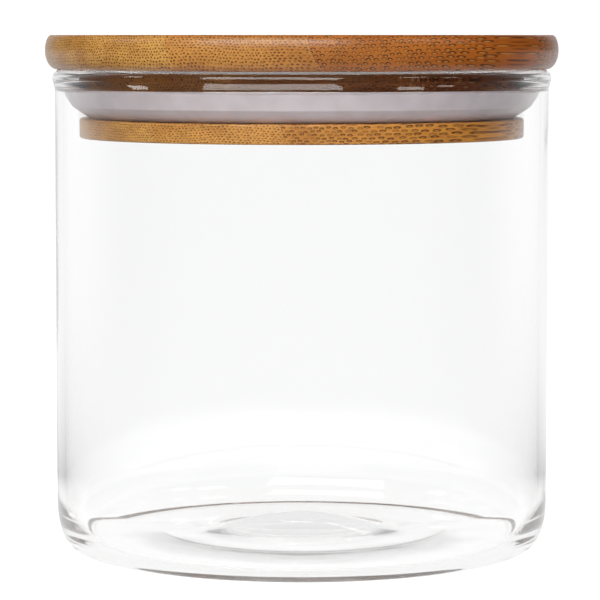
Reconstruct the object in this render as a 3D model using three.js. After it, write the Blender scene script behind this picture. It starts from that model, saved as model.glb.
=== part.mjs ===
// Lidded glass canister: a blown glass jar closed by a turned bamboo lid.
// The lid is a board of three plies. A flared silicone ring sits in the groove of its plug and seals
// against the inside of the jar. Millimetres, +Z up, every piece turned about the Z axis, the jar's
// foot on z = 0.

import * as THREE from 'three';

// ---- driving dimensions
const FACETS = 72;                 // steps around every turned piece, so that their facets line up

const JAR_RADIUS = 50;             // outside of the straight wall
const JAR_HEIGHT = 97;             // foot to rim
const WALL = 1.8;
const BASE = 1.6;                  // thickness of the floor at the foot
const HEEL_OUT = { across: 4.2, up: 9 };      // quarter-ellipse from foot to wall, outside
const HEEL_IN = { across: 5.5, up: 9, fullness: 2.1 };   // superellipse, inside
const PUSH_UP = { radius: 30, height: 2.5 };  // hollow under the middle of the foot
const FLOOR_RISE = 4.4;            // swelling of the floor above the push-up
const BEAD_RADIUS = 50.5;          // widest part of the fire-polished rim
const BEAD_BELOW_RIM = 1.8;        // depth of that widest part
const BEAD_FADE = 4.6;             // depth where the bead has run out into the wall
const BEAD_ROUND = 1.3;            // radial size of the bead's outer rounding
const BEAD_SHOULDER = { in: 0.1, below: 1 };  // from the widest part, where the bead starts to fade
const BORE_ROUND = { across: 0.9, up: 1.1 };  // rounding from the rim into the bore

const PLY = 6.9;                   // thickness of one ply of the lid board
const CAP_RADIUS = 51.9;           // widest part of the cap's edge
const CAP_TOP_ROUND = { across: 1.3, up: 3.15 };
const CAP_FOOT_ROUND = { across: 2.4, up: 3.75 };

const PLUG_RADIUS = 45;            // land and flange of the plug
const GROOVE_RADIUS = 41.5;        // core between them
const GROOVE_TOP = 11.1;           // depths below the top of the lid
const GROOVE_FOOT = 16.8;
const EDGE = 0.45;                 // eased edges of the plug

const SEAL_GAP = 0.1;              // clearance of the ring in its groove and in the jar
const LIP = 1.2;                   // thickness of the flared lip
const LIP_TOP = 10.5;              // depths below the top of the lid
const LIP_TURN = 11.1;             // where the land of the lip turns in
const LIP_EDGE = 0.3;              // eased top edge of the lip
const SLEEVE = 1.5;                // thickness of the ring against the core
// Radii and depths of the cone under the lip, with its crease in the middle, and of the channel
// between the lip and the sleeve.
const CONE = [[45, 15.4], [46.5, 14.2], [47.35, 12.9], [47.9, 11.7]];
const CHANNEL = [[46.9, 11.5], [46, 12.6], [44.6, 13.9], [43.1, 14.6]];

const LID_TOP = JAR_HEIGHT + PLY;
const JAR_BORE = JAR_RADIUS - WALL;

// ---- outlines
// An outline is a list of points [radius, height]. It runs anticlockwise round the section, and it
// either starts and ends on the axis or closes on itself.

// Points of a quarter-ellipse about (centreR, centreZ), between two angles in degrees. A fullness
// over 2 makes it a superellipse, which runs into the straights at its ends more gently.
function arc(centreR, centreZ, across, up, from, to, steps, fullness = 2) {
  const bulge = (value) => Math.sign(value) * Math.abs(value) ** (2 / fullness);
  const points = [];
  for (let i = 0; i <= steps; i += 1) {
    const angle = THREE.MathUtils.degToRad(from + ((to - from) * i) / steps);
    const r = centreR + across * bulge(Math.cos(angle));
    const z = centreZ + up * bulge(Math.sin(angle));
    points.push([r, z]);
  }
  return points;
}

// Half of a smooth swelling, from its edge (radius, foot) to its top on the axis.
function swelling(radius, foot, height, steps) {
  const points = [];
  for (let i = 0; i <= steps; i += 1) {
    const t = i / steps;
    points.push([radius * (1 - t), foot + (height * (1 - Math.cos(Math.PI * t))) / 2]);
  }
  return points;
}

function jarOutline() {
  const foot = swelling(PUSH_UP.radius, 0, PUSH_UP.height, 5).reverse();
  const heelOut = arc(
    JAR_RADIUS - HEEL_OUT.across, HEEL_OUT.up, HEEL_OUT.across, HEEL_OUT.up, -90, 0, 6,
  );
  const widest = JAR_HEIGHT - BEAD_BELOW_RIM;
  const rim = [
    [JAR_RADIUS, JAR_HEIGHT - BEAD_FADE],
    [BEAD_RADIUS - BEAD_SHOULDER.in, widest - BEAD_SHOULDER.below],
    ...arc(BEAD_RADIUS - BEAD_ROUND, widest, BEAD_ROUND, BEAD_BELOW_RIM, 0, 90, 4),
    ...arc(
      JAR_BORE + BORE_ROUND.across, JAR_HEIGHT - BORE_ROUND.up, BORE_ROUND.across, BORE_ROUND.up,
      105, 180, 3,
    ),
  ];
  const heelIn = arc(
    JAR_BORE - HEEL_IN.across, BASE + HEEL_IN.up, HEEL_IN.across, HEEL_IN.up, 0, -90, 6,
    HEEL_IN.fullness,
  );
  const floor = swelling(PUSH_UP.radius, BASE, FLOOR_RISE, 5);
  return [...foot, ...heelOut, ...rim, ...heelIn, ...floor];
}

function sealOutline() {
  const top = (depth) => LID_TOP - depth;
  const bore = GROOVE_RADIUS + SEAL_GAP;
  const outside = JAR_BORE - SEAL_GAP;
  const footZ = top(GROOVE_FOOT) + SEAL_GAP;
  const sleeveZ = top(GROOVE_TOP) - SEAL_GAP;
  return [
    [bore, footZ],
    [bore + SLEEVE, footZ],
    ...CONE.map(([r, depth]) => [r, top(depth)]),
    [outside, top(LIP_TURN)],
    [outside, top(LIP_TOP + LIP_EDGE)],
    [outside - LIP_EDGE, top(LIP_TOP)],
    [outside - LIP, top(LIP_TOP)],
    ...CHANNEL.map(([r, depth]) => [r, top(depth)]),
    [bore + SLEEVE, sleeveZ],
    [bore, sleeveZ],
    [bore, footZ],
  ];
}

function capOutline() {
  const waist = LID_TOP - CAP_TOP_ROUND.up;
  const { across: topAcross, up: topUp } = CAP_TOP_ROUND;
  const { across: footAcross, up: footUp } = CAP_FOOT_ROUND;
  return [
    [0, LID_TOP - PLY],
    ...arc(CAP_RADIUS - footAcross, waist, footAcross, footUp, -90, 0, 5),
    ...arc(CAP_RADIUS - topAcross, waist, topAcross, topUp, 0, 90, 4).slice(1),
    [0, LID_TOP],
  ];
}

// Upper ply of the plug: the land under the cap and the upper half of the groove.
function upperPlugOutline() {
  const grooveZ = LID_TOP - GROOVE_TOP;
  return [
    [0, LID_TOP - 2 * PLY],
    [GROOVE_RADIUS, LID_TOP - 2 * PLY],
    [GROOVE_RADIUS, grooveZ],
    [PLUG_RADIUS - EDGE, grooveZ],
    [PLUG_RADIUS, grooveZ + EDGE],
    [PLUG_RADIUS, LID_TOP - PLY],
    [0, LID_TOP - PLY],
  ];
}

// Lower ply of the plug: the lower half of the groove and the flange that keeps the ring on.
function lowerPlugOutline() {
  const grooveZ = LID_TOP - GROOVE_FOOT;
  const footZ = LID_TOP - 3 * PLY;
  return [
    [0, footZ],
    ...arc(PLUG_RADIUS - EDGE, footZ + EDGE, EDGE, EDGE, -90, 0, 2),
    ...arc(PLUG_RADIUS - EDGE, grooveZ - EDGE, EDGE, EDGE, 0, 90, 2),
    [GROOVE_RADIUS, grooveZ],
    [GROOVE_RADIUS, LID_TOP - 2 * PLY],
    [0, LID_TOP - 2 * PLY],
  ];
}

// ---- materials
function clearGlass() {
  const glass = new THREE.MeshStandardMaterial({ color: 0xf4f7f6, roughness: 0.03, metalness: 0 });
  glass.transparent = true;
  glass.opacity = 0.25;
  return glass;
}

function silicone() {
  return new THREE.MeshStandardMaterial({ color: 0xc9c3c4, roughness: 0.45, metalness: 0 });
}

function bamboo(color) {
  return new THREE.MeshStandardMaterial({ color, roughness: 0.5, metalness: 0 });
}

// ---- solids
// Turns an outline about Z. The solid is built about its own origin at height originZ, and its mesh
// is placed there.
function turned(name, outline, originZ, material) {
  const profile = outline.map(([r, z]) => new THREE.Vector2(Math.max(r, 0), z - originZ));
  const geometry = new THREE.LatheGeometry(profile, FACETS);
  geometry.rotateX(Math.PI / 2);
  const mesh = new THREE.Mesh(geometry, material);
  mesh.name = name;
  mesh.position.z = originZ;
  return mesh;
}

const jar = new THREE.Group();
jar.name = 'jar';
jar.add(turned('glass_jar', jarOutline(), 0, clearGlass()));

const seal = new THREE.Group();
seal.name = 'seal';
seal.add(turned('seal_ring', sealOutline(), LID_TOP - GROOVE_FOOT, silicone()));

const lid = new THREE.Group();
lid.name = 'lid';
lid.add(
  turned('lid_cap', capOutline(), LID_TOP - PLY, bamboo(0xb07a45)),
  turned('lid_plug_upper', upperPlugOutline(), LID_TOP - 2 * PLY, bamboo(0xa87341)),
  turned('lid_plug_lower', lowerPlugOutline(), LID_TOP - 3 * PLY, bamboo(0xb98250)),
);

const canister = new THREE.Group();
canister.name = 'lidded_glass_canister';
canister.add(jar, seal, lid);

export default canister;
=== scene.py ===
"""Lidded glass canister: smooth turned pieces, glass, bamboo and silicone, in a white studio.

Metres, +Z up. The jar stands on z = 0 with its axis on Z. The camera looks along +Y.
"""

import math

import bpy
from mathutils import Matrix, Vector


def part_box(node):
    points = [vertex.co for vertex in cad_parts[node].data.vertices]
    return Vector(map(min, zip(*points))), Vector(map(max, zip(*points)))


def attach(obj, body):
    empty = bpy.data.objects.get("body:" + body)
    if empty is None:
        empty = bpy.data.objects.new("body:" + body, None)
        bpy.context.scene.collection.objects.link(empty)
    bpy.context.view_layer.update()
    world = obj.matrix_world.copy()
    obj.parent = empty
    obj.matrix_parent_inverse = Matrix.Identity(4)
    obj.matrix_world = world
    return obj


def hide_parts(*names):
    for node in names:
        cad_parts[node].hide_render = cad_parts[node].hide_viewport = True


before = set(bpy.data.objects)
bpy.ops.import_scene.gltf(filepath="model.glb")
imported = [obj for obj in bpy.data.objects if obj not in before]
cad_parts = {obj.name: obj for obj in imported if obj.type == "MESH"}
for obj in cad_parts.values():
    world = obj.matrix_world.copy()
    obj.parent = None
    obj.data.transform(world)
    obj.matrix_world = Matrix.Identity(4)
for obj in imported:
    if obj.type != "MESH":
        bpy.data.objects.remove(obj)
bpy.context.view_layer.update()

MM = 0.001

# ---- sizes that come from the frame
JAR_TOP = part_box("glass_jar")[1].z
BEAD_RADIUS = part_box("glass_jar")[1].x
LID_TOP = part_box("lid_cap")[1].z
CAP_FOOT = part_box("lid_cap")[0].z
CAP_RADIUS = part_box("lid_cap")[1].x
PLY = LID_TOP - CAP_FOOT
PLUG_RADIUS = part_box("lid_plug_upper")[1].x
PLY_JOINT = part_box("lid_plug_upper")[0].z
PLUG_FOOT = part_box("lid_plug_lower")[0].z
SEAL_FOOT, SEAL_TOP = (corner.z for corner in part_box("seal_ring"))

# ---- sizes inside the pieces
BEAD_OUT = 0.5                      # how far the rim bead stands out past the wall, mm
WALL_RADIUS = BEAD_RADIUS - BEAD_OUT * MM
WALL = 1.8 * MM
BORE = WALL_RADIUS - WALL
BASE = 1.6 * MM                     # thickness of the floor near the heel
HEEL_UP = 9 * MM                    # height of the rounded heel
HEEL_OUT = 4.2 * MM                 # how far the heel runs in from the wall, outside
HEEL_IN = 5.5 * MM                  # and inside
HEEL_FULLNESS = 2.1                 # of the inside; 2 would be an ellipse
PUSH_UP_RADIUS = 30 * MM            # hollow under the middle of the foot
PUSH_UP = 2.5 * MM
FLOOR_RISE = 4.4 * MM               # swelling of the floor above the hollow
RIPPLE = 0.45 * MM                  # height of the rings round the middle of the floor
RIPPLE_PHASE = 8.0                  # of those rings, from the middle to the edge, radians
# The rim bead, as millimetres outwards and below the rim: its outside, from the outside of the
# wall, and its inside, from the bore, into which it bulges.
OUTER_BEAD = [
    (0, 4.4),
    (0.03, 3.8),
    (BEAD_OUT - 0.06, 2.25),
    (BEAD_OUT, 1.8),
    (BEAD_OUT - 0.3, 0.8),
    (BEAD_OUT - 1.2, 0),
]
INNER_BEAD = [(0.35, 0.12), (-0.2, 0.8), (-0.44, 1.5), (-0.04, 3.5), (0, 4.2)]

CAP_WAIST = LID_TOP - 3.15 * MM     # height of the widest part of the cap's edge
CAP_TOP_ROUND = 1.3 * MM            # how far the edge runs in above it
CAP_FOOT_ROUND = 2.4 * MM           # and below it
PLUG_EDGE = 0.45 * MM               # eased edges of the plug
GROOVE_RADIUS = 41.5 * MM
GROOVE_TOP = LID_TOP - 11.1 * MM
GROOVE_FOOT = LID_TOP - 16.8 * MM

SEAL_GAP = 0.1 * MM                 # clearance of the ring in its groove
SLEEVE = 1.5 * MM                   # thickness of the ring against the core of the plug
SLEEVE_FOOT_EDGE = 0.3 * MM         # its eased edges
SLEEVE_TOP_EDGE = 0.2 * MM
LIP_PRESS = 0.03 * MM               # the soft lip wets the glass
LIP_TURN = LID_TOP - 11.1 * MM      # where the land of the lip turns in
LIP_ROUND = 0.5 * MM                # rounded top of the lip: half its width, and its height
LIP_ROUND_UP = 0.3 * MM
# Section of the ring, as millimetres from the axis and below the top of the lid: the cone under
# the lip, with a crease between its two stretches, and the channel between the lip and the sleeve.
LOW_CONE = [(43.5, 16.35), (45, 15.4), (46.45, 14.3)]
HIGH_CONE = [(46.55, 14.15), (47.35, 12.9), (47.95, 11.7)]
CHANNEL = [(46.9, 11.3), (46.7, 11.9), (46, 12.65), (44.7, 13.75), (43.7, 14.35), (43.1, 14.5)]

STEPS_AROUND = 288
ON_AXIS = 1e-9                      # a radius below this is on the axis
SHARP = math.radians(40)            # a crease at least this steep is not smoothed


# ---- outlines: lists of (radius, height) from the axis round to the axis, or closed
def arc(centre_r, centre_z, across, up, start, end, steps, fullness=2.0):
    """Points of a quarter-ellipse between two angles in degrees. Fuller than 2 is a superellipse."""
    def bulge(value):
        return math.copysign(abs(value) ** (2 / fullness), value)

    points = []
    for i in range(steps + 1):
        angle = math.radians(start + (end - start) * i / steps)
        radius = centre_r + across * bulge(math.cos(angle))
        height = centre_z + up * bulge(math.sin(angle))
        points.append((radius, height))
    return points


def spline(points, steps=6):
    """A Catmull-Rom curve through points, which runs straight out of both ends."""
    def between(a, b, c, d, t):
        bend = (2 * a - 5 * b + 4 * c - d) * t**2 + (3 * b - a - 3 * c + d) * t**3
        return 0.5 * (2 * b + (c - a) * t + bend)

    ends = [points[0], *points, points[-1]]
    curve = []
    for k in range(len(points) - 1):
        four = list(zip(*ends[k : k + 4]))
        curve += [tuple(between(*values, i / steps) for values in four) for i in range(steps)]
    return [*curve, points[-1]]


def swelling(radius, foot, height, steps):
    """From the edge of a smooth swelling to its top on the axis."""
    return [
        (radius * (1 - i / steps), foot + height * (1 - math.cos(math.pi * i / steps)) / 2)
        for i in range(steps + 1)
    ]


def placed(points, radius, top):
    """Points written as millimetres outwards from a radius and below a height."""
    return [(radius + out * MM, top - below * MM) for out, below in points]


def ripple(radius):
    """Height of the rings that the blowing left on the floor, at a radius."""
    part = radius / PUSH_UP_RADIUS
    return RIPPLE * math.sin(RIPPLE_PHASE * part) * math.sqrt(1 - part) * part


def jar_outline():
    push_up = swelling(PUSH_UP_RADIUS, 0, PUSH_UP, steps=40)[::-1]
    heel_out = arc(WALL_RADIUS - HEEL_OUT, HEEL_UP, HEEL_OUT, HEEL_UP, -90, 0, steps=28)
    outer_bead = spline(placed(OUTER_BEAD, WALL_RADIUS, JAR_TOP))
    inner_bead = spline(placed(INNER_BEAD, BORE, JAR_TOP))
    heel_in = arc(BORE - HEEL_IN, BASE + HEEL_UP, HEEL_IN, HEEL_UP, 0, -90, 40, HEEL_FULLNESS)
    rise = swelling(PUSH_UP_RADIUS, BASE, FLOOR_RISE, steps=60)
    floor = [(radius, z + ripple(radius)) for radius, z in rise]
    return push_up + heel_out + outer_bead + inner_bead + heel_in + floor


def seal_outline():
    bore = GROOVE_RADIUS + SEAL_GAP
    sleeve = bore + SLEEVE
    pressed = BORE + LIP_PRESS
    low_cone = spline([(sleeve - SLEEVE_FOOT_EDGE, SEAL_FOOT), *placed(LOW_CONE, 0, LID_TOP)])
    high_cone = spline(placed(HIGH_CONE, 0, LID_TOP))
    lip_top = arc(pressed - LIP_ROUND, SEAL_TOP - LIP_ROUND_UP, LIP_ROUND, LIP_ROUND_UP, 0, 180, 12)
    lip = [(pressed, LIP_TURN), *lip_top]
    channel = spline(placed(CHANNEL, 0, LID_TOP))
    collar_top = GROOVE_TOP - SEAL_GAP
    collar = [
        (sleeve, collar_top - SLEEVE_TOP_EDGE),
        (sleeve - SLEEVE_TOP_EDGE, collar_top),
        (bore, collar_top),
        (bore, SEAL_FOOT),
    ]
    return low_cone + high_cone + lip + channel + collar + [low_cone[0]]


def cap_outline():
    foot_up = CAP_WAIST - CAP_FOOT
    top_up = LID_TOP - CAP_WAIST
    foot = arc(CAP_RADIUS - CAP_FOOT_ROUND, CAP_WAIST, CAP_FOOT_ROUND, foot_up, -90, 0, steps=20)
    shoulder = arc(CAP_RADIUS - CAP_TOP_ROUND, CAP_WAIST, CAP_TOP_ROUND, top_up, 0, 90, steps=20)
    return [(0, CAP_FOOT), *foot, *shoulder[1:], (0, LID_TOP)]


def plug_edge(z, start):
    """An eased edge of the plug, about the height z of its centre."""
    return arc(PLUG_RADIUS - PLUG_EDGE, z, PLUG_EDGE, PLUG_EDGE, start, start + 90, steps=6)


def upper_plug_outline():
    return [
        (0, PLY_JOINT),
        (GROOVE_RADIUS, PLY_JOINT),
        (GROOVE_RADIUS, GROOVE_TOP),
        *plug_edge(GROOVE_TOP + PLUG_EDGE, -90),
        (PLUG_RADIUS, CAP_FOOT),
        (0, CAP_FOOT),
    ]


def lower_plug_outline():
    return [
        (0, PLUG_FOOT),
        *plug_edge(PLUG_FOOT + PLUG_EDGE, -90),
        *plug_edge(GROOVE_FOOT - PLUG_EDGE, 0),
        (GROOVE_RADIUS, GROOVE_FOOT),
        (GROOVE_RADIUS, PLY_JOINT),
        (0, PLY_JOINT),
    ]


# ---- meshes
def turned(name, outline):
    """Turns an outline about Z into a closed mesh, with a single vertex where it meets the axis."""
    closed = outline[0] == outline[-1]
    rows = outline[:-1] if closed else outline
    vertices = []
    rings = []
    for radius, z in rows:
        first = len(vertices)
        if radius < ON_AXIS:
            vertices.append((0, 0, z))
            rings.append([first] * STEPS_AROUND)
            continue
        for k in range(STEPS_AROUND):
            angle = 2 * math.pi * k / STEPS_AROUND
            vertices.append((radius * math.cos(angle), radius * math.sin(angle), z))
        rings.append(list(range(first, first + STEPS_AROUND)))
    pairs = list(zip(rings, rings[1:]))
    if closed:
        pairs.append((rings[-1], rings[0]))
    faces = []
    for low, high in pairs:
        for k in range(STEPS_AROUND):
            after = (k + 1) % STEPS_AROUND
            corners = [low[k], low[after], high[after], high[k]]
            faces.append(list(dict.fromkeys(corners)))
    mesh = bpy.data.meshes.new(name)
    mesh.from_pydata(vertices, [], [f for f in faces if len(f) > 2])
    mesh.validate()
    mesh.shade_smooth()
    mesh.set_sharp_from_angle(angle=SHARP)
    piece = bpy.data.objects.new(name, mesh)
    bpy.context.scene.collection.objects.link(piece)
    return piece


# ---- materials
class Nodes:
    """A short way to write a node tree."""

    def __init__(self, owner, output="ShaderNodeOutputMaterial"):
        owner.use_nodes = True
        self.tree = owner.node_tree
        self.tree.nodes.clear()
        self.output = self.tree.nodes.new(output)

    def add(self, kind, settings=None, **inputs):
        """Adds a node. Inputs are values or other nodes' outputs."""
        node = self.tree.nodes.new(kind)
        for key, value in (settings or {}).items():
            setattr(node, key, value)
        for key, value in inputs.items():
            self.plug(node.inputs[key.replace("_", " ")], value)
        return node

    def plug(self, socket, value):
        if isinstance(value, bpy.types.NodeSocket):
            self.tree.links.new(value, socket)
        else:
            socket.default_value = value

    def surface(self, shader):
        self.plug(self.output.inputs["Surface"], shader.outputs[0])

    def math(self, operation, a, b=0.0, c=0.0):
        node = self.tree.nodes.new("ShaderNodeMath")
        node.operation = operation
        for socket, value in zip(node.inputs, (a, b, c)):
            self.plug(socket, value)
        return node.outputs[0]

    def vector(self, operation, a, b):
        """Combines a vector and a fixed vector, as a vector or, for a dot product, a value."""
        node = self.add("ShaderNodeVectorMath", {"operation": operation})
        self.plug(node.inputs[0], a)
        self.plug(node.inputs[1], b)
        return node.outputs["Value" if operation == "DOT_PRODUCT" else "Vector"]

    def split(self, vector):
        return self.add("ShaderNodeSeparateXYZ", Vector=vector).outputs

    def band(self, value, low, high, start=0.0, end=1.0):
        """Goes smoothly from start to end as value goes from low to high."""
        node = self.tree.nodes.new("ShaderNodeMapRange")
        node.interpolation_type = "SMOOTHSTEP"
        for socket, number in zip(node.inputs, (value, low, high, start, end)):
            self.plug(socket, number)
        return node.outputs[0]

    def mix(self, amount, a, b):
        """Mixes two colours."""
        node = self.add("ShaderNodeMix", {"data_type": "RGBA"})
        self.plug(node.inputs["Factor"], amount)
        self.plug(node.inputs[6], a)
        self.plug(node.inputs[7], b)
        return node.outputs[2]

    def blend(self, amount, a, b):
        """Mixes two plain numbers."""
        node = self.add("ShaderNodeMix", {"data_type": "FLOAT"})
        self.plug(node.inputs[0], amount)
        self.plug(node.inputs[2], a)
        self.plug(node.inputs[3], b)
        return node.outputs[0]

    def millimetres(self):
        """The piece's own coordinates in millimetres."""
        place = self.add("ShaderNodeTexCoord").outputs["Object"]
        scaled = self.add("ShaderNodeVectorMath", {"operation": "SCALE"}, Vector=place, Scale=1 / MM)
        return scaled.outputs[0]

    def stretched(self, vector, scale, rotation=(0, 0, 0)):
        return self.add("ShaderNodeMapping", Vector=vector, Scale=scale, Rotation=rotation).outputs[0]

    def noise(self, vector, detail):
        """Noise with features about one unit wide. Its outputs are a value and a colour."""
        return self.add("ShaderNodeTexNoise", Vector=vector, Scale=1.0, Detail=detail).outputs


def new_material(name):
    material = bpy.data.materials.new(name)
    return material, Nodes(material)


def srgb(red, green, blue):
    """A colour written as 0 to 255, as the linear colour that nodes want."""
    def linear(value):
        value /= 255
        return value / 12.92 if value <= 0.04045 else ((value + 0.055) / 1.055) ** 2.4

    return (linear(red), linear(green), linear(blue), 1)


def glass_material():
    """Clear borosilicate glass, blown, so its surface is very slightly wavy."""
    material, n = new_material("clear_glass")
    waves = n.noise(n.stretched(n.millimetres(), (0.05, 0.05, 0.02)), detail=1.0)[0]
    relief = n.add("ShaderNodeBump", Height=waves, Strength=0.15, Distance=0.6 * MM)
    shader = n.add(
        "ShaderNodeBsdfPrincipled",
        Base_Color=(0.989, 0.991, 0.990, 1),
        Roughness=0.0,
        IOR=1.47,
        Transmission_Weight=1.0,
        Normal=relief.outputs[0],
    )
    n.surface(shader)
    return material


def silicone_material():
    """Milky silicone with a satin skin and faint moulding marks."""
    material, n = new_material("milky_silicone")
    place = n.millimetres()
    cloud = n.noise(n.stretched(place, (0.25, 0.25, 0.25)), detail=3.0)[0]
    grain = n.noise(n.stretched(place, (3.0, 3.0, 3.0)), detail=2.0)[0]
    relief = n.add("ShaderNodeBump", Height=grain, Strength=0.2, Distance=0.05 * MM)
    shader = n.add(
        "ShaderNodeBsdfPrincipled",
        Base_Color=n.mix(n.band(cloud, 0.3, 0.7), srgb(228, 219, 224), srgb(238, 230, 236)),
        Roughness=0.45,
        IOR=1.41,
        Transmission_Weight=0.15,
        Normal=relief.outputs[0],
    )
    n.surface(shader)
    return material


# ---- bamboo
FIBRE_TURN = math.radians(36)       # fibres run this far to the right of the camera's direction
STRIP = 25.7                        # width of one cane strip in a ply, mm
JOINT_LEAN = -0.3                   # the joints between strips run this far across for each mm up
BUNDLES_ACROSS = 1.4                # bundles of fibres in a millimetre of a fine strip
BUNDLES_UP = 1.45
COARSENESS = 0.25                   # a coarse strip has this part fewer of them
CROWDING = 2.0                      # extra millimetres of bundles that the skin side holds
BUNDLE_DRIFT = (6.0, 3.0)           # how far bundles wander along the fibres, across and up, mm
BUNDLE_SPREAD = 0.4                 # how far they stray from a regular grid, in cells
BUNDLE_RADIUS = 0.34                # of their dark rings, in cells
COARSE_EXTRA = 0.08                 # wider than that in a coarse strip
BUNDLE_EDGE = 0.12                  # softness of the rings' edges
MIDDLE_RADII = (0.26, 0.14)         # where the pale middle of a ring starts and is full
MIDDLE_DROP = 0.1                   # how far it lies below the middle of the ring, in cells
STRIP_STAGGER = 3.7                 # cells that each strip is shifted by

CAP_TONES = (srgb(170, 90, 18), srgb(210, 160, 84))       # deepest and palest flesh of the cane
# the upper ply of the plug is darker than the cap: painted shade, for the shade under the cap's
# overhang and above the ring
LAND_TONES_PAINTED_SHADE = (srgb(130, 68, 22), srgb(176, 122, 64))
# the lower ply is paler than the cap: partly its own tone, partly painted light that gives the flange
# behind the glass a brightness the lamps don't give it
PLUG_TONES_WITH_PAINTED_LIGHT = (srgb(216, 146, 60), srgb(222, 170, 96))
PATCH_TONE = srgb(128, 66, 22)
FIBRE_TONE = srgb(112, 58, 20)
RING_TONE = srgb(70, 32, 8)
MIDDLE_TONE = srgb(190, 126, 62)
JOINT_TONE = srgb(206, 160, 104)


def cane_strips(n, across, rise, shift):
    """Strips side by side: their number, tone and coarseness from 0 to 1, and the joint beside."""
    leaning = n.math("MULTIPLY_ADD", rise, JOINT_LEAN, across)
    place = n.math("DIVIDE", n.math("ADD", leaning, shift), STRIP)
    number = n.math("FLOOR", place)
    # tones go up and down from strip to strip, and some strips are coarse
    wave = n.math("SINE", n.math("MULTIPLY_ADD", number, 1.05, 0.7))
    tone = n.math("MULTIPLY_ADD", wave, 0.5, 0.5)
    coarse = n.math("GREATER_THAN", n.math("FRACT", n.math("MULTIPLY_ADD", number, 0.3, 6.4)), 0.75)
    off_middle = n.math("ABSOLUTE", n.math("SUBTRACT", n.math("FRACT", place), 0.5))
    joint = n.band(off_middle, 0.494, 0.499)
    return number, tone, coarse, joint


def cane_bundles(n, grain, skin, crowding, strip, coarse):
    """Bundles of fibres seen end on: how much a place is in a dark ring and in its pale middle."""
    _, across, height = n.split(grain)
    # they drift slowly along the fibres
    drift = n.noise(n.stretched(grain, (0.012, 0.05, 0.05)), detail=1.0)[1]
    drift_across, drift_up, _ = n.split(drift)
    side = n.math("MULTIPLY_ADD", drift_across, BUNDLE_DRIFT[0], across)
    deep = n.math("MULTIPLY_ADD", drift_up, BUNDLE_DRIFT[1], height)
    # and crowd towards the skin
    crowded = n.math("MULTIPLY_ADD", n.math("POWER", skin, 2.0), crowding, deep)
    density = n.math("MULTIPLY_ADD", coarse, -COARSENESS, 1.0)
    row = n.math("MULTIPLY", n.math("MULTIPLY", crowded, density), BUNDLES_UP)
    # every other row is shifted by half a bundle, and each strip by an amount of its own
    odd = n.math("MODULO", n.math("FLOOR", n.math("ADD", row, 0.3)), 2.0)
    stagger = n.math("MULTIPLY_ADD", strip, STRIP_STAGGER, n.math("MULTIPLY", odd, 0.5))
    column = n.math("MULTIPLY_ADD", n.math("MULTIPLY", side, density), BUNDLES_ACROSS, stagger)
    cells = n.add("ShaderNodeCombineXYZ", X=column, Y=row).outputs[0]

    def dots(place):
        kind = {"feature": "F1", "voronoi_dimensions": "2D"}
        node = n.add("ShaderNodeTexVoronoi", kind, Vector=place, Scale=1.0, Randomness=BUNDLE_SPREAD)
        return node.outputs

    bundle = dots(cells)
    middle = dots(n.vector("ADD", cells, (0.0, MIDDLE_DROP, 0.0)))
    radius = n.math("MULTIPLY_ADD", coarse, COARSE_EXTRA, BUNDLE_RADIUS)
    inside = n.band(bundle["Distance"], radius, n.math("SUBTRACT", radius, BUNDLE_EDGE))
    depth = n.band(n.split(bundle["Color"])[0], 0.0, 0.8, 0.5, 1.0)
    dark = n.math("MULTIPLY", inside, depth)
    paleness = n.math("MULTIPLY_ADD", coarse, 0.7, 0.2)
    pale = n.math("MULTIPLY", n.band(middle["Distance"], *MIDDLE_RADII), paleness)
    return dark, pale


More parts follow.
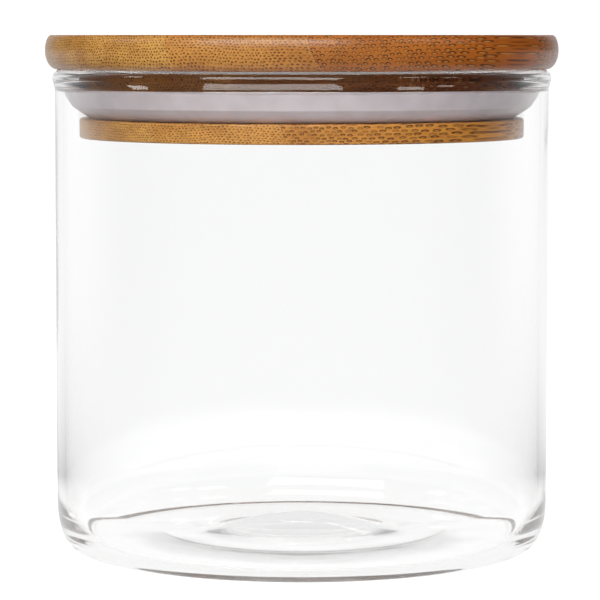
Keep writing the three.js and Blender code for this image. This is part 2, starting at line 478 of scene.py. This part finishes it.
def bamboo_material(name, skin_up, ply_foot, shift, tones):
    """Flat-pressed bamboo: strips side by side, each with its bundles denser towards the skin side.

    The grain is a solid texture, in a frame turned about Z so that x runs along the fibres, y across
    the strips and z through the ply. End grain shows the bundles as dark rings, and their middles
    are pale in the coarse strips. Along the fibres the rings draw out into dark lines.
    """
    material, n = new_material(name)
    # this turn brings the fibres onto x
    grain = n.stretched(n.millimetres(), (1, 1, 1), (0, 0, FIBRE_TURN - math.pi / 2))
    _, across, height = n.split(grain)
    rise = n.math("SUBTRACT", height, ply_foot)
    level = n.math("DIVIDE", rise, PLY / MM)
    skin = level if skin_up else n.math("SUBTRACT", 1.0, level)
    strip, tone, coarse, joint = cane_strips(n, across, rise, shift)
    dark, pale = cane_bundles(n, grain, skin, CROWDING if skin_up else -CROWDING, strip, coarse)

    # how much of the end of the fibres a place on the surface shows
    normal = n.add("ShaderNodeTexCoord").outputs["Normal"]
    fibre_way = (math.sin(FIBRE_TURN), math.cos(FIBRE_TURN), 0)
    facing = n.vector("DOT_PRODUCT", normal, fibre_way)
    ends = n.math("POWER", n.math("ABSOLUTE", facing), 2.0)

    fibres = n.noise(n.stretched(grain, (0.03, 4.0, 4.0)), detail=3.0)[0]
    patches = n.noise(n.stretched(grain, (0.007, 0.15, 0.25)), detail=2.0)[0]
    flesh = n.mix(n.math("MULTIPLY_ADD", tone, 0.6, n.math("MULTIPLY", ends, 0.45)), *tones)
    flesh = n.mix(n.band(patches, 0.35, 0.7, 0.0, 0.35), flesh, PATCH_TONE)
    flesh = n.mix(n.band(fibres, 0.4, 0.75, 0.0, 0.45), flesh, FIBRE_TONE)
    flesh = n.mix(n.math("MULTIPLY", dark, 0.92), flesh, RING_TONE)
    flesh = n.mix(n.math("MULTIPLY", pale, 0.8), flesh, MIDDLE_TONE)
    colour = n.mix(n.math("MULTIPLY", joint, 0.3), flesh, JOINT_TONE)

    height_map = n.math("SUBTRACT", n.math("MULTIPLY", fibres, 0.3), n.math("MULTIPLY", dark, 0.2))
    relief = n.add("ShaderNodeBump", Height=height_map, Strength=0.4, Distance=0.1 * MM)
    shader = n.add(
        "ShaderNodeBsdfPrincipled",
        Base_Color=colour,
        Roughness=n.band(fibres, 0.2, 0.8, 0.25, 0.35),
        IOR=1.5,
        Normal=relief.outputs[0],
    )
    n.surface(shader)
    return material


# ---- pieces
def make_piece(name, node, body, outline, material):
    piece = turned(name, outline)
    piece.data.materials.append(material)
    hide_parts(node)
    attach(piece, body)
    return piece


make_piece("jar_glass", "glass_jar", "jar", jar_outline(), glass_material())
make_piece("seal_silicone", "seal_ring", "seal", seal_outline(), silicone_material())
make_piece(
    "cap_bamboo", "lid_cap", "lid", cap_outline(),
    bamboo_material("bamboo_cap", True, CAP_FOOT / MM, 7.1, CAP_TONES),
)
# the upper ply takes the darker tones, which paint the shade under the cap
make_piece(
    "plug_bamboo_upper", "lid_plug_upper", "lid", upper_plug_outline(),
    bamboo_material("bamboo_plug_upper", True, PLY_JOINT / MM, 16.0, LAND_TONES_PAINTED_SHADE),
)
# the lower ply takes the paler tones, partly painted light
make_piece(
    "plug_bamboo_lower", "lid_plug_lower", "lid", lower_plug_outline(),
    bamboo_material("bamboo_plug_lower", False, PLUG_FOOT / MM, -1.7, PLUG_TONES_WITH_PAINTED_LIGHT),
)


# ---- studio
HORIZON = 60.0                      # half the floor's width, m
FLOOR_DROP = 0.05 * MM              # the floor lies this far below the jar's foot
WHITE = 1.08                        # the white that the jar is seen against
FOLDED_WHITE = 0.9                  # what light mirrored twice or more in the glass finds
FOLDS = (8.0, 14.0)                 # mirrorings over which light in the glass fades
FADED = 0.35                        # what is left of it then
LIGHT_BOUNCES = 1000                # light folds to and fro in the wall under the lid very often


class Studio(Nodes):
    """Node tree of the floor or the world. White as seen directly or through clear glass.

    A mirror image shows a photographer's room instead: white behind the jar (+Y) and dark on the
    camera's side. Light that is mirrored to and fro in the glass has looked all round the room, so
    it is white too, and fades after many turns. Surfaces are lit mostly from the camera's side.
    """

    def strength(self, lighting, mirrored):
        ray = self.add("ShaderNodeLightPath").outputs
        lights = self.math("GREATER_THAN", ray["Diffuse Depth"], 0.5)
        bounced = self.math("ADD", ray["Diffuse Depth"], ray["Glossy Depth"])
        straight = self.math("LESS_THAN", bounced, 0.5)
        through = self.math("MULTIPLY", ray["Is Transmission Ray"], straight)
        seen = self.math("MAXIMUM", ray["Is Camera Ray"], through)
        folded = self.math("GREATER_THAN", ray["Glossy Depth"], 1.5)
        mirrored = self.math("MAXIMUM", mirrored, self.math("MULTIPLY", folded, FOLDED_WHITE))
        fading = self.band(ray["Glossy Depth"], *FOLDS, 1.0, FADED)
        mirrored = self.math("MULTIPLY", mirrored, fading)
        room = self.blend(lights, mirrored, lighting)
        return self.blend(seen, room, WHITE)


def make_floor():
    mesh = bpy.data.meshes.new("floor")
    square = ((-1, -1), (1, -1), (1, 1), (-1, 1))
    corners = [(x * HORIZON, y * HORIZON, -FLOOR_DROP) for x, y in square]
    mesh.from_pydata(corners, [], [(0, 1, 2, 3)])
    floor = bpy.data.objects.new("floor", mesh)
    bpy.context.scene.collection.objects.link(floor)
    material = bpy.data.materials.new("white_floor")
    n = Studio(material)
    place = n.add("ShaderNodeTexCoord").outputs["Object"]
    distance = n.add("ShaderNodeVectorMath", {"operation": "LENGTH"}, Vector=place).outputs["Value"]
    # in mirror images, white round the jar's foot and behind it
    near = n.band(distance, 0.09, 0.17, 1.0, 0.0)
    back = n.math("DIVIDE", n.split(place)["Y"], n.math("ADD", distance, 0.1))
    mirrored = n.math("MULTIPLY", n.math("MAXIMUM", near, n.band(back, -0.1, 0.75)), 0.92)
    # as lighting, bright on the camera's side
    lighting = n.band(back, 0.0, -0.85, 0.12, 1.0)
    shader = n.add(
        "ShaderNodeBsdfPrincipled",
        Base_Color=(0.04, 0.04, 0.04, 1),
        Roughness=0.9,
        Specular_IOR_Level=0.0,
        Emission_Color=(1, 1, 1, 1),
        Emission_Strength=n.strength(lighting, mirrored),
    )
    n.surface(shader)
    material.cycles.emission_sampling = "NONE"
    mesh.materials.append(material)


def make_world():
    world = bpy.data.worlds.new("studio")
    bpy.context.scene.world = world
    n = Studio(world, "ShaderNodeOutputWorld")
    world.cycles.sampling_method = "NONE"
    right, back, up = n.split(n.add("ShaderNodeTexCoord").outputs["Generated"])
    mirrored = n.band(back, 0.7, 1.0, 0.02, 0.88)
    # light comes from the camera's side, a little from its left, and from above
    front = n.math("MULTIPLY_ADD", right, -0.25, n.math("MULTIPLY", back, -0.97))
    lighting = n.math("ADD", n.band(front, 0.3, 1.0, 0.15, 0.55), n.band(up, 0.1, 0.9, 0.0, 0.35))
    strength = n.strength(lighting, mirrored)
    n.surface(n.add("ShaderNodeBackground", Color=(1, 1, 1, 1), Strength=strength))


LAMP_COLOUR = (1.0, 0.97, 0.93)
# Lamps aimed at the lid: degrees to the right of the camera and upwards, distance and size in
# metres, and radiance.
LAMPS = {
    "key": (-15.5, 35, 1.0, (1.09, 0.39), 6.3),
    "left_strip": (-88, 29, 0.8, (0.12, 0.12), 6.0),
    "right_strip": (57, 35, 0.9, (0.2, 0.1), 6.0),
    "far_right_strip": (75, 28, 0.9, (0.12, 0.08), 5.0),
}


def make_softbox(name, turn, lift, distance, size, radiance):
    light = bpy.data.lights.new(name, "AREA")
    light.shape = "RECTANGLE"
    light.size, light.size_y = size
    light.color = LAMP_COLOUR
    light.energy = radiance * math.pi * size[0] * size[1]
    lamp = bpy.data.objects.new(name, light)
    turn, lift = math.radians(turn), math.radians(lift)
    away = Vector((math.sin(turn) * math.cos(lift), -math.cos(turn) * math.cos(lift), math.sin(lift)))
    lamp.location = Vector((0, 0, CAP_FOOT)) + away * distance
    lamp.rotation_euler = away.to_track_quat("Z", "Y").to_euler()
    lamp.visible_camera = False
    bpy.context.scene.collection.objects.link(lamp)


CAMERA_PLACE = (-0.35 * MM, -610.4 * MM, LID_TOP)
CAMERA_DOWN = math.radians(5.05)    # how far it looks down
SENSOR_WIDTH = 36                   # this and the lens are in millimetres
LENS = 180


def make_camera():
    """The photograph's view: level with the lid's top, looking slightly down from 610 mm."""
    data = bpy.data.cameras.new("camera")
    data.sensor_width = SENSOR_WIDTH
    data.lens = LENS
    data.clip_start = 10 * MM
    camera = bpy.data.objects.new("camera", data)
    camera.location = CAMERA_PLACE
    camera.rotation_euler = (math.pi / 2 - CAMERA_DOWN, 0, 0)
    bpy.context.scene.collection.objects.link(camera)
    bpy.context.scene.camera = camera


make_camera()
make_floor()
make_world()
for lamp_name, lamp_values in LAMPS.items():
    make_softbox(lamp_name, *lamp_values)
bpy.context.scene.view_settings.view_transform = "Standard"
cycles = bpy.context.scene.cycles
cycles.blur_glossy = 0
cycles.max_bounces = LIGHT_BOUNCES
cycles.glossy_bounces = LIGHT_BOUNCES
cycles.transmission_bounces = LIGHT_BOUNCES
